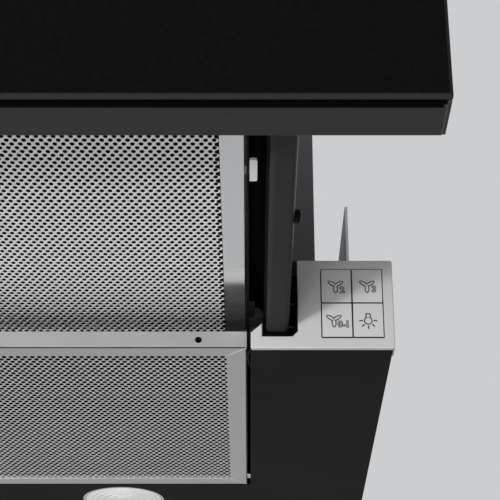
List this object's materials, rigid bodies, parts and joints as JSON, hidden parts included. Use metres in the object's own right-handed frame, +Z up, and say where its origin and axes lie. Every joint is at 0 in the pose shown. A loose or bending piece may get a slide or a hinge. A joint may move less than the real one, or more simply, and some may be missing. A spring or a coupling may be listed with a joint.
{
  "type": "pull-out range hood",
  "caption": "Slim built-in range hood for a kitchen wall cabinet, with a glass-fronted filter drawer pulled out, push buttons at the right, a blower casing and a round duct outlet.",
  "frame": {"origin": "on the wall face at the back of the hood, on its middle plane, level with the underside", "axes": "+X to the user's right, +Y back into the wall, +Z up"},
  "size_m": [0.6036, 0.5004, 0.21],
  "materials": {
    "dark_steel": "dark brushed",
    "body_steel": "satin grey",
    "zinc_steel": "zinc plated",
    "arm_steel": "rolled, fine grain",
    "bright_steel": "bright",
    "black_screw": "black",
    "silver_plastic": "silver satin",
    "button_plastic": "silver, soft gloss",
    "black_plastic": "fine texture",
    "white_plastic": "smooth",
    "impeller_plastic": "smooth",
    "filter_frame": "satin",
    "filter_mesh": "satin",
    "black_glass": "polished",
    "tape": "matte",
    "lamp_chrome": "polished",
    "lamp_glass": "frosted",
    "motor_metal": "cast",
    "capacitor_case": "smooth",
    "rubber": "matte",
    "board": "printed board"
  },
  "bodies": {
    "housing": {"housing_tray": "body_steel", "side_floor_right": "dark_steel", "side_floor_left": "dark_steel", "front_fascia_right": "silver_plastic", "front_fascia_left": "silver_plastic", "front_crossbar": "body_steel", "slide_guides": "black_plastic", "rail_brackets": "zinc_steel", "fixed_rail_right": "zinc_steel", "fixed_rail_left": "zinc_steel", "motor_box": "body_steel", "service_cover": "body_steel", "fixing_brackets": "zinc_steel", "outlet_spigot": "black_plastic", "damper_pin": "bright_steel", "scroll_lower": "black_plastic", "scroll_upper": "black_plastic", "inlet_guard": "black_plastic", "motor_body": "motor_metal", "motor_mounts": "rubber", "capacitor": "capacitor_case", "terminal_box": "black_plastic", "control_board": "board", "cable_gland": "black_plastic", "lamp_housings": "lamp_chrome", "lamp_lenses": "lamp_glass", "switch_module": "black_plastic", "cassette_clips": "zinc_steel", "cassette_hinge_pins": "bright_steel", "housing_screws": "bright_steel"},
    "drawer": {"front_glass": "black_glass", "glass_spacer": "tape", "front_panel": "dark_steel", "panel_end_caps": "black_plastic", "arm_right": "arm_steel", "arm_left": "arm_steel", "drawer_top_plate": "zinc_steel", "filter_rail_right": "black_plastic", "filter_rail_left": "black_plastic", "drawer_filter_frame": "filter_frame", "drawer_filter_mesh": "filter_mesh", "drawer_filter_core": "filter_mesh", "drawer_crossbar": "zinc_steel", "drawer_screws": "black_screw"},
    "cassette": {"cassette_frame": "filter_frame", "cassette_mesh": "filter_mesh", "cassette_core": "filter_mesh", "cassette_pull": "black_plastic"},
    "cage_right": {"ball_cage_right": "zinc_steel"},
    "cage_left": {"ball_cage_left": "zinc_steel"},
    "latch_right": {"filter_latch_right": "white_plastic"},
    "latch_left": {"filter_latch_left": "white_plastic"},
    "button_speed_two_body": {"button_speed_two": "button_plastic"},
    "button_speed_three_body": {"button_speed_three": "button_plastic"},
    "button_power_body": {"button_power": "button_plastic"},
    "button_light_body": {"button_light": "button_plastic"},
    "fan": {"impeller": "impeller_plastic", "impeller_shaft": "bright_steel"},
    "flap_front": {"damper_flap_front": "black_plastic"},
    "flap_rear": {"damper_flap_rear": "black_plastic"}
  },
  "joints": [
    {"name": "drawer_slide", "type": "slide", "parent": "housing", "child": "drawer", "axis": [0, 1, 0], "range_m": [0, 0.2]},
    {"name": "cage_right_slide", "type": "slide", "parent": "housing", "child": "cage_right", "axis": [0, 1, 0], "range_m": [0, 0.1]},
    {"name": "cage_left_slide", "type": "slide", "parent": "housing", "child": "cage_left", "axis": [0, 1, 0], "range_m": [0, 0.1]},
    {"name": "latch_right_slide", "type": "slide", "parent": "drawer", "child": "latch_right", "axis": [1, 0, 0], "range_m": [0, 0.0032], "stiffness_N_per_m": 300},
    {"name": "latch_left_slide", "type": "slide", "parent": "drawer", "child": "latch_left", "axis": [-1, 0, 0], "range_m": [0, 0.0032], "stiffness_N_per_m": 300},
    {"name": "cassette_hinge", "type": "hinge", "parent": "housing", "child": "cassette", "pos_m": [0, -0.0645, 0.0044], "axis": [1, 0, 0], "range_deg": [0, 75]},
    {"name": "button_speed_two_press", "type": "slide", "parent": "housing", "child": "button_speed_two_body", "axis": [0, 1, 0], "range_m": [0, 0.0025], "stiffness_N_per_m": 500},
    {"name": "button_speed_three_press", "type": "slide", "parent": "housing", "child": "button_speed_three_body", "axis": [0, 1, 0], "range_m": [0, 0.0025], "stiffness_N_per_m": 500},
    {"name": "button_power_press", "type": "slide", "parent": "housing", "child": "button_power_body", "axis": [0, 1, 0], "range_m": [0, 0.0025], "stiffness_N_per_m": 500},
    {"name": "button_light_press", "type": "slide", "parent": "housing", "child": "button_light_body", "axis": [0, 1, 0], "range_m": [0, 0.0025], "stiffness_N_per_m": 500},
    {"name": "fan_spin", "type": "hinge", "parent": "housing", "child": "fan", "pos_m": [-0.155, -0.135, 0.1], "axis": [0, 0, 1], "continuous": true},
    {"name": "flap_front_hinge", "type": "hinge", "parent": "housing", "child": "flap_front", "pos_m": [0, -0.135, 0.188], "axis": [-1, 0, 0], "range_deg": [0, 75]},
    {"name": "flap_rear_hinge", "type": "hinge", "parent": "housing", "child": "flap_rear", "pos_m": [0, -0.135, 0.188], "axis": [1, 0, 0], "range_deg": [0, 75]}
  ],
  "couplings": [
    {"joint": "cage_right_slide", "follows": "drawer_slide", "ratio": 0.5},
    {"joint": "cage_left_slide", "follows": "drawer_slide", "ratio": 0.5}
  ]
}
